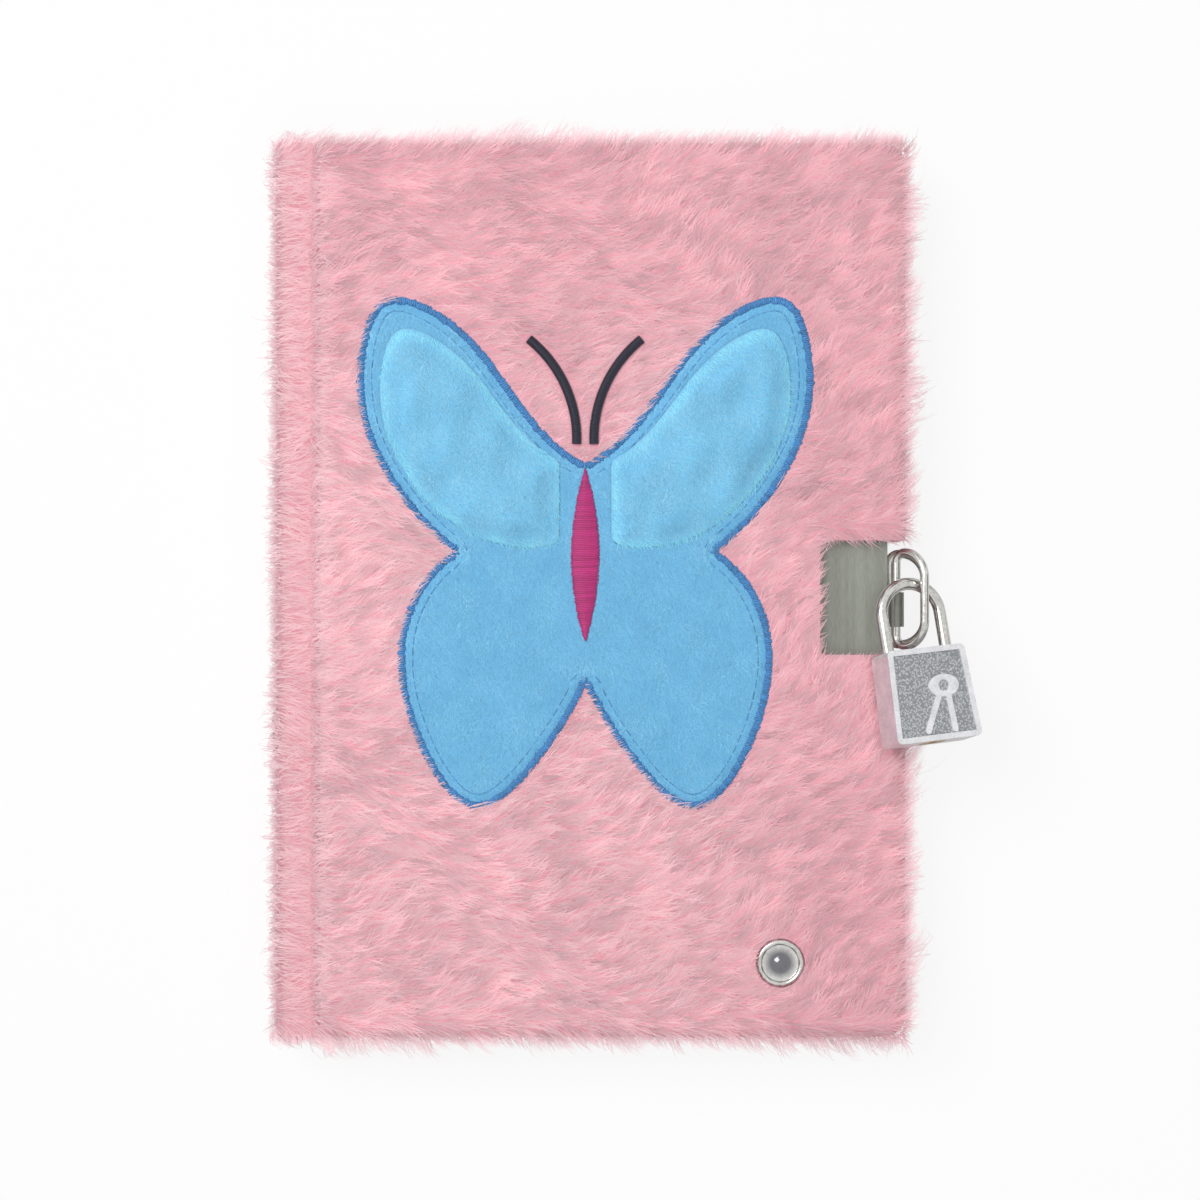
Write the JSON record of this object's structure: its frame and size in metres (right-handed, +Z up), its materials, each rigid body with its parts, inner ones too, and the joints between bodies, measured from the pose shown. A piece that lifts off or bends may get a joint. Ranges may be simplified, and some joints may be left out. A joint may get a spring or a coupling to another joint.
{
  "type": "plush diary with padlock",
  "caption": "Hardcover diary in long-pile plush with a sewn butterfly, a lock window with hasp rings and a small padlock hung on the front ring.",
  "frame": {"origin": "middle of the back cover's underside, on the surface that the diary lies on", "axes": "+Z up out of the front cover, +Y to the head of the page, +X to the fore edge and the lock"},
  "size_m": [0.1627, 0.207, 0.0416],
  "materials": {
    "pink_plush": "long soft pile",
    "blue_plush": "short pile",
    "pale_blue_plush": "short pile",
    "magenta_thread": "satin stitch",
    "navy_thread": "satin stitch",
    "grey_board": "matt",
    "wadding": "loose fibre",
    "page_paper": "matt",
    "endpaper": "matt",
    "lining_cloth": "open weave",
    "satin_steel": "satin",
    "nickel_wire": "polished nickel",
    "nickel_stud": "polished nickel",
    "zinc_case": "satin with polished rim",
    "brass": "turned",
    "latch_steel": "pressed"
  },
  "bodies": {
    "back_cover": {"back_plush": "pink_plush", "back_board": "grey_board", "back_endpaper": "endpaper", "back_flyleaf": "page_paper", "page_section_1": "page_paper", "page_section_2": "page_paper", "page_section_3": "page_paper", "page_section_4": "page_paper", "spine_lining": "lining_cloth", "spine_board": "grey_board", "spine_plush": "pink_plush", "front_joint_cloth": "pink_plush", "back_hasp_plate": "satin_steel", "back_hasp_rivets": "satin_steel"},
    "front_cover": {"front_plush": "pink_plush", "front_wadding": "wadding", "front_board": "grey_board", "front_endpaper": "endpaper", "front_hasp_plate": "satin_steel", "front_hasp_rivets": "satin_steel", "stud_cap": "nickel_stud", "stud_post": "nickel_stud", "stud_washer": "nickel_stud", "butterfly_patch": "blue_plush", "butterfly_body": "magenta_thread", "butterfly_antennae": "navy_thread"},
    "front_flyleaf": {"front_flyleaf": "page_paper"},
    "turned_leaves": {"turned_leaves": "page_paper"},
    "turning_leaf": {"turning_leaf": "page_paper"},
    "front_ring": {"front_ring": "nickel_wire"},
    "back_ring": {"back_ring": "nickel_wire"},
    "shackle": {"shackle": "nickel_wire"},
    "lock_case": {"lock_case_front": "zinc_case", "lock_case_back": "zinc_case", "case_rivets": "zinc_case", "shackle_spring": "nickel_wire"},
    "lock_plug": {"lock_plug": "brass"},
    "lock_latch": {"lock_latch": "latch_steel"},
    "left_wing": {"left_wing_flap": "pale_blue_plush"},
    "right_wing": {"right_wing_flap": "pale_blue_plush"}
  },
  "joints": [
    {"name": "front_cover_open", "type": "hinge", "parent": "back_cover", "child": "front_cover", "pos_m": [-0.0685, 0, 0.02065], "axis": [0, -1, 0], "range_deg": [0, 180], "deforming": ["front_joint_cloth"]},
    {"name": "front_flyleaf_turn", "type": "hinge", "parent": "back_cover", "child": "front_flyleaf", "pos_m": [-0.0685, 0, 0.02065], "axis": [0, -1, 0], "range_deg": [0, 180]},
    {"name": "turned_leaves_turn", "type": "hinge", "parent": "back_cover", "child": "turned_leaves", "pos_m": [-0.0685, 0, 0.02065], "axis": [0, -1, 0], "range_deg": [0, 180]},
    {"name": "turning_leaf_turn", "type": "hinge", "parent": "back_cover", "child": "turning_leaf", "pos_m": [-0.0685, 0, 0.02065], "axis": [0, -1, 0], "range_deg": [0, 180]},
    {"name": "front_ring_swing", "type": "hinge", "parent": "front_cover", "child": "front_ring", "pos_m": [0.07023, -0.0021, 0.02468], "axis": [0, -1, 0], "range_deg": [-75, 0]},
    {"name": "padlock_swing", "type": "hinge", "parent": "front_ring", "child": "shackle", "pos_m": [0.0732, -0.00575, 0.02975], "axis": [0.3223, 0.1738, 0.9305], "range_deg": [-12, 12]},
    {"name": "shackle_lift", "type": "slide", "parent": "shackle", "child": "lock_case", "axis": [0.1509, -0.9799, 0.1308], "range_m": [0, 0.0083], "deforming": ["shackle_spring"]},
    {"name": "lock_plug_turn", "type": "hinge", "parent": "lock_case", "child": "lock_plug", "pos_m": [0.07607, -0.02442, 0.03225], "axis": [-0.1509, 0.9799, -0.1308], "range_deg": [0, 90]},
    {"name": "latch_slide", "type": "slide", "parent": "lock_case", "child": "lock_latch", "axis": [0.9345, 0.0982, -0.342], "range_m": [0, 0.00311]},
    {"name": "back_ring_swing", "type": "hinge", "parent": "back_cover", "child": "back_ring", "pos_m": [0.07023, -0.0021, 0.00458], "axis": [0, -1, 0], "range_deg": [0, 75]},
    {"name": "left_wing_lift", "type": "hinge", "parent": "front_cover", "child": "left_wing", "pos_m": [-0.0078, 0.0069, 0.0282], "axis": [0, 1, 0], "range_deg": [0, 90]},
    {"name": "right_wing_lift", "type": "hinge", "parent": "front_cover", "child": "right_wing", "pos_m": [0.0042, 0.0069, 0.0282], "axis": [0, -1, 0], "range_deg": [0, 90]}
  ],
  "couplings": [
    {"joint": "front_flyleaf_turn", "follows": "front_cover_open", "ratio": 0.985},
    {"joint": "turned_leaves_turn", "follows": "front_cover_open", "ratio": 0.95},
    {"joint": "turning_leaf_turn", "follows": "front_cover_open", "ratio": 0.55},
    {"joint": "lock_plug_turn", "follows": "shackle_lift", "rad_per_m": 189.25},
    {"joint": "latch_slide", "follows": "shackle_lift", "ratio": 0.37485}
  ]
}
